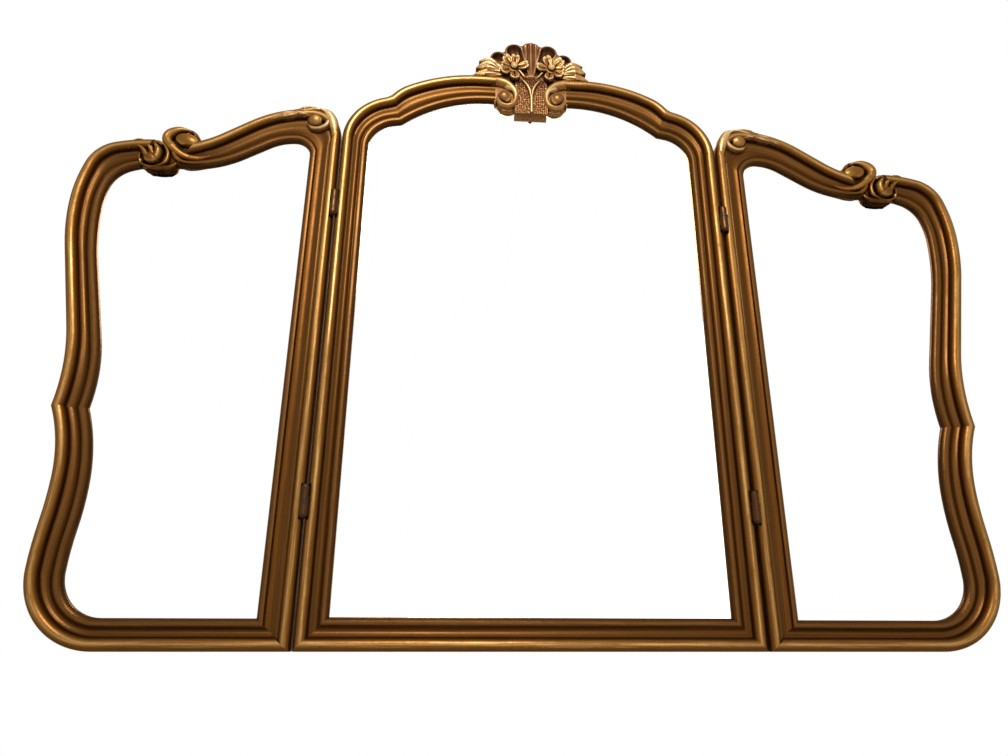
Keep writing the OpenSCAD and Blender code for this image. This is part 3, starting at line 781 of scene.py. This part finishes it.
def carve_block():
    block = Relief(-49, 49, 666, 725, 0.5)
    upper = np.minimum(48 - np.abs(block.U), np.minimum(block.Z - 687, 724 - block.Z))
    ground = np.minimum(22 - np.abs(block.U), np.minimum(block.Z - 667, 723.5 - block.Z))
    rng = np.random.default_rng(7)
    punched = np.zeros(block.U.shape)
    for u in np.arange(-21, 22, PUNCH_GAP):
        for z in np.arange(668, 723, PUNCH_GAP):
            du, dz = rng.uniform(-0.8, 0.8, 2)
            away = (block.U - u - du) ** 2 + (block.Z - z - dz) ** 2
            punched = np.maximum(punched, np.exp(-away / 0.8))
    block.add(upper, np.full(block.U.shape, 13.0))
    block.add(ground, 17.0 - 1.3 * punched)
    floor = np.where(block.Z >= 694, 0.0, 8.3 + np.clip(675 - block.Z, 0, 8))
    # darker overall, with a painted shadow deepening upwards under the flowers
    block.piece("crest_block_carved", "crest_block", 1, "centre_panel", floor, GOLD_WORN,
                "worn_gilding", shade=0.14 + 0.36 * eased(block.Z, 700, 721), rim=0.75)


def carve_volute(side, name, node):
    volute = Relief(12.5, 55.5, 669, 725, 0.4)
    volute.boss(32.5, 689.5, 17.5, 17.5, 9.0, 5.0, power=1.0)
    volute.strand(
        [(52.0, 717.4), (44.0, 717.3), (35, 714.6), (27.5, 709), (21.8, 700.5), (20.8, 690),
         (24.1, 681.3), (32, 677.8), (39.5, 680.2), (43.8, 686.5), (44.3, 693)],
        [6.5, 6.5, 6.4, 6.2, 6.0, 5.8, 5.9, 6.0, 5.6, 4.6, 2.6],
        [15, 15, 14.5, 13, 11, 9.5, 8.8, 8.6, 8.8, 9.6, 11],
        [6.4, 6.4, 6.8, 8, 9.8, 11, 11.4, 11.2, 10.4, 8.8, 6], power=0.65,
    )
    volute.boss(36.0, 693.0, 10.2, 10.2, 13.0, 8.6, power=0.6)
    volute.cut([(41, 704.6), (34, 704.8), (27.2, 701), (24.8, 694), (26.2, 686.6), (31.5, 682.4)],
               1.3, 5.5)
    volute.trim(55 - volute.U)
    behind_arch = (volute.Z >= 694) | (volute.U >= 48)
    floor = np.where(behind_arch, 12.0, 8.3 + np.clip(678 - volute.Z, 0, 4))
    # painted shade: deepening towards the bottom, over the eye, and towards the arch's moulding
    lower = 0.16 * eased(702 - volute.Z, 0, 18) + 0.08
    eye = 12.0 - np.hypot(volute.U - 36, volute.Z - 693)
    painted_shade_map = np.maximum(lower, 0.24 * eased(eye, 0, 3)) + 0.22 * eased(volute.U, 42, 53)
    volute.piece(name, node, side, "centre_panel", floor, GOLD_CREST, "gilded_wood", shade=painted_shade_map,
                 rim=0.7)


def carve_stem():
    stem = Relief(-15, 15, 666, 721, 0.35)
    for side, _ in HANDS:
        stem.strand([(0, 668), (0, 680), (0.3 * side, 692), (2.2 * side, 702), (6 * side, 711),
                     (11 * side, 718)],
                    [2.6, 2.7, 2.7, 2.5, 2.2, 1.4], 16.6, [4.2, 4.8, 4.9, 4.8, 4.4, 3.2])
    stem.cut([(0, 694), (0, 704)], 0.6, 0.8)
    stem.piece("crest_stem_carved", "crest_stem", 1, "centre_panel", 16.5, GOLD_CREST,
               "gilded_wood")


carve_shell()
carve_flower("left", -24.0, 737.5, LEFT_PETALS)
carve_flower("right", 27.0, 738.0, RIGHT_PETALS)
# the node has both leaves, and so both volutes: the left piece stands for it
for side, hand in HANDS:
    carve_leaves(side, f"crest_leaf_{hand}_carved", "crest_leaves" if side < 0 else None)
carve_block()
for side, hand in HANDS:
    carve_volute(side, f"crest_volute_{hand}_carved", "crest_volutes" if side < 0 else None)
carve_stem()

# Wing ornaments


def inside_polygon(relief, corners):
    """Signed distance in from a convex polygon's sides, its corners taken clockwise."""
    edge = np.full(relief.U.shape, 1e3)
    for (u0, z0), (u1, z1) in zip(corners, corners[1:] + corners[:1]):
        du, dz = u1 - u0, z1 - z0
        square = (relief.U - u0) * dz - (relief.Z - z0) * du
        edge = np.minimum(edge, square / math.hypot(du, dz))
    return edge


def carve_knot(hand, side):
    knot = Relief(408, 512, 546, 602, 0.4)
    block = inside_polygon(knot, [(419.8, 598.1), (475.2, 596.4), (491.5, 559), (447.7, 562.6)])
    bulge = 22.5 - np.hypot(knot.U - 465.5, knot.Z - 571.5)
    body = np.maximum(block, np.minimum(np.minimum(bulge, 568 - knot.Z), knot.Z - 552))
    knot.add(np.minimum(body, 4), 9 + 4.5 * np.clip(body / 10, 0, 1) ** 0.5)
    # the rail's lip running up into the roll, the heavy rounded foot, and the roll round the buds
    knot.strand([(410, 568.4), (430, 566.2), (441, 568), (448.5, 574), (453.5, 584), (459, 593)],
                [0.8, 2.4, 3.0, 3.2, 3.2, 2.0], 13, [1, 2.5, 4, 5, 5, 4])
    knot.strand([(446, 568), (450.5, 561), (457, 557.4), (466, 556.3), (475, 557.6), (485, 563)],
                [2, 4.4, 5, 5, 4.6, 2.5], 8.6, [5, 8, 9, 9, 8, 5])
    knot.strand([(482, 592.5), (471, 593), (462.5, 588), (458, 579), (458.5, 568), (464, 560.8),
                 (474, 557.2), (485, 560.8), (491.5, 569), (492.5, 577)],
                [3.6, 3.2, 2.8, 2.6, 2.6, 2.6, 2.6, 2.5, 2.2, 1.2], 14,
                [5, 4.6, 4.2, 4, 3.8, 3.7, 3.6, 3.4, 3, 2])
    knot.boss(478, 571.5, 10.8, 8.2, 13.0, 7.5, turn=28)
    for bud, width in (
        (((471.5, 573), (470, 581), (474, 589)), [5.0, 4.2, 2.4]),
        (((476, 576), (479, 583), (485, 589)), [4.4, 3.4, 2.0]),
        (((483, 574), (489, 582), (498, 587.5)), [4.2, 3.4, 2.0]),
    ):
        knot.strand(bud, width, [14.5, 15.5, 15], [6, 5.8, 4.6])
    knot.leaf([(484, 590.5), (495, 591.5), (504, 587.5), (505, 581)], [2.5, 4.8, 5.0, 3.6, 1.0],
              [15, 16.5, 16, 14.5], 5.0, 2, 2, 0.9)
    knot.cut([(466, 588), (464, 580), (465.5, 571.5), (470.5, 565), (478.5, 561.8), (487, 564.5)],
             1.8, 4.0)
    over_rail = (knot.U < 438) & (block <= 0)
    floor = np.where(over_rail, 12.0, 8.35 + np.clip(559 - knot.Z, 0, 4))
    # painted shade: a painted shadow in the nook under the ball, deepening towards the bottom and
    # the middle
    shadowed_nook = 14 - np.hypot((knot.U - 440) * 0.8, (knot.Z - 588) * 1.7)
    painted_shade_map = 0.35 * eased(shadowed_nook, 0, 6) + 0.08 + 0.22 * eased(568 - knot.Z, 0, 8)
    painted_shade_map = painted_shade_map + 0.12 * eased(466 - knot.U, 0, 6)
    knot.piece(f"{hand}_knot_carved", f"{hand}_knot", side, f"{hand}_wing", floor, GOLD_CARVED,
               "gilded_wood", shade=painted_shade_map)


def carve_scroll(hand, side):
    scroll = Relief(408, 474, 570, 621, 0.4)
    disc = 20.5 - np.hypot(scroll.U - 443, scroll.Z - 597)
    scroll.add(np.minimum(disc, scroll.Z - 589), np.full(scroll.U.shape, 12.5))
    scroll.strand([(409, 579), (425, 575.5), (439, 577), (450, 583.5), (459, 592.5), (463, 601),
                   (458.5, 608.8), (448, 612.6), (438, 611.5)],
                  [1.0, 3.2, 4.2, 5, 5.5, 5.6, 5.4, 5.2, 3.6],
                  [12.2, 12.2, 12.6, 13.5, 15, 15, 15, 15, 15],
                  [0.6, 1.4, 3, 5.2, 6.4, 6.5, 6.5, 5.6, 3.5])
    scroll.boss(438.0, 599.0, 15.2, 9.6, 13.5, 7.6, turn=17)
    scroll.cut([(434, 610.2), (441, 610.4), (449, 608), (454.6, 602.5), (455.2, 596)], 1.3, 5.0)
    floor = np.where(scroll.Z > 600, 0.0, 11.0)
    scroll.piece(f"{hand}_scroll_carved", f"{hand}_scroll", side, f"{hand}_wing", floor,
                 GOLD_CARVED, "gilded_wood", shade=-0.04, rim=0.45)


def carve_corner(hand, side):
    corner = Relief(248, 344, 602, 662, 0.4)
    corner.strand(
        [(254.4, 604), (255.2, 620), (257.6, 632), (261.5, 642), (267, 649), (275, 652.8)],
        [2.8, 5.2, 6.2, 6.4, 5.4, 2.0], [14, 15, 16, 16.5, 17, 16.5], [5, 6.2, 7, 7, 6.4, 5],
    )
    corner.strand(
        [(263, 641), (264, 634.5), (268.5, 629), (276.5, 626), (285, 627.4), (291.5, 633)],
        [3.4, 4.0, 4.0, 3.6, 3.2, 1.6], [17, 16, 14.5, 13.5, 13.2, 13], [5, 5.4, 5.6, 5.2, 4.4, 3],
    )
    corner.boss(281.6, 639.2, 10.6, 10.4, 14.5, 7.4, power=0.6)
    for line, width, base in (
        (((276, 653.5), (290, 652.5), (316, 645.0)), [1.6, 3.8, 4.6, 4.0, 0.6], [17, 18, 16.5]),
        (((289, 645.5), (300, 647), (312, 642.5)), [4, 5.6, 5.0, 3.2, 0.8], [16, 17.5, 16.5]),
        (((300, 645), (318, 642.5), (341, 632.5)), [3, 5.2, 5.2, 3.6, 0.5], [16, 17.5, 16]),
    ):
        corner.leaf(line, width, base, 4.8, 2, 1.5, 1.8)
    corner.cut([(271.2, 636), (270.6, 643), (274.5, 649.4), (283, 650.8)], 1.5, 5.0)
    corner.trim(corner.U - 248.5)
    # painted shade over the eye, deepening towards the bottom and over the leaves; a slight painted
    # highlight elsewhere
    eye = 11.5 - np.hypot(corner.U - 281, corner.Z - 637)
    painted_shade_map = 0.20 * eased(eye, 0, 3) + 0.24 * eased(636 - corner.Z, 0, 24) - 0.06
    painted_shade_map = painted_shade_map + 0.18 * eased(corner.U, 284, 296)
    corner.piece(f"{hand}_corner_leaf_carved", f"{hand}_corner_leaf", side, f"{hand}_wing", 11.5,
                 GOLD_CREST, "gilded_wood", shade=painted_shade_map, rim=0.5)


for side, hand in HANDS:
    carve_knot(hand, side)
    carve_scroll(hand, side)
    carve_corner(hand, side)

# Nodes whose own solids stay: the first word found in a node's name gives its finish

NODE_FINISHES = (
    ("glass", MIRROR), ("backing", BOARD), ("pin", STEEL), ("sprigs", STEEL), ("screws", STEEL),
    ("hinge", BRASS), ("plates", BRASS),
)

for name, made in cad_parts.items():
    finishes = [mat for word, mat in NODE_FINISHES if word in name]
    if finishes:
        made.data.materials.clear()
        made.data.materials.append(finishes[0])
        smooth(made.data, NODE_CREASE)

# Stage

FLOOR_Z, FLOOR_HALF = -1.4, 2.2
LAMPS_FACE = Vector((0, 0, -0.2))
# Name, place, size, power, colour
LAMPS = (
    ("key", (-0.15, -1.05, 0.55), 0.4, 18.0, (0.94, 1.0, 1.08)),
    ("fill", (0.4, -2.0, -0.1), 1.4, 6.0, (1.0, 0.97, 0.92)),
    ("back", (0.8, 1.8, 0.9), 1.4, 22.0, (1.0, 0.98, 0.95)),
)


def make_floor():
    mesh = bpy.data.meshes.new("floor")
    corners = ((-1, -1), (1, -1), (1, 1), (-1, 1))
    mesh.from_pydata([(x * FLOOR_HALF, y * FLOOR_HALF, FLOOR_Z) for x, y in corners], [],
                     [(0, 1, 2, 3)])
    pale = Finish("pale_floor")
    pale.set(Base_Color=srgb(238, 237, 234), Roughness=0.9)
    mesh.materials.append(pale.mat)
    floor = bpy.data.objects.new("floor", mesh)
    bpy.context.scene.collection.objects.link(floor)


def make_lamps():
    for name, at, size, power, colour in LAMPS:
        lamp = bpy.data.lights.new(name, "AREA")
        lamp.size, lamp.energy, lamp.color = size, power, colour
        made = bpy.data.objects.new(name, lamp)
        made.location = at
        made.rotation_euler = (LAMPS_FACE - Vector(at)).to_track_quat("-Z", "Y").to_euler()
        bpy.context.scene.collection.objects.link(made)


def make_world():
    """Soft light all round, and plain white to the camera and in reflections."""
    world = bpy.data.worlds.new("studio")
    bpy.context.scene.world = world
    world.use_nodes = True
    world.node_tree.nodes.clear()
    studio = Nodes(world.node_tree)
    camera, glossy, through = (
        studio.node("ShaderNodeLightPath", {}, out=f"Is {kind} Ray")
        for kind in ("Camera", "Glossy", "Transmission")
    )
    seen = camera.at_least(glossy).at_least(through)
    soft = studio.node("ShaderNodeBackground", {}, (1.0, 0.98, 0.95), 0.45)
    white = studio.node("ShaderNodeBackground", {}, (1.0, 1.0, 1.0), 1.0)
    sky = studio.node("ShaderNodeMixShader", {}, seen, soft, white)
    studio.feed(studio.tree.nodes.new("ShaderNodeOutputWorld").inputs["Surface"], sky)


make_floor()
make_lamps()
make_world()
bpy.context.scene.view_settings.view_transform = "Standard"

bpy.context.view_layer.update()
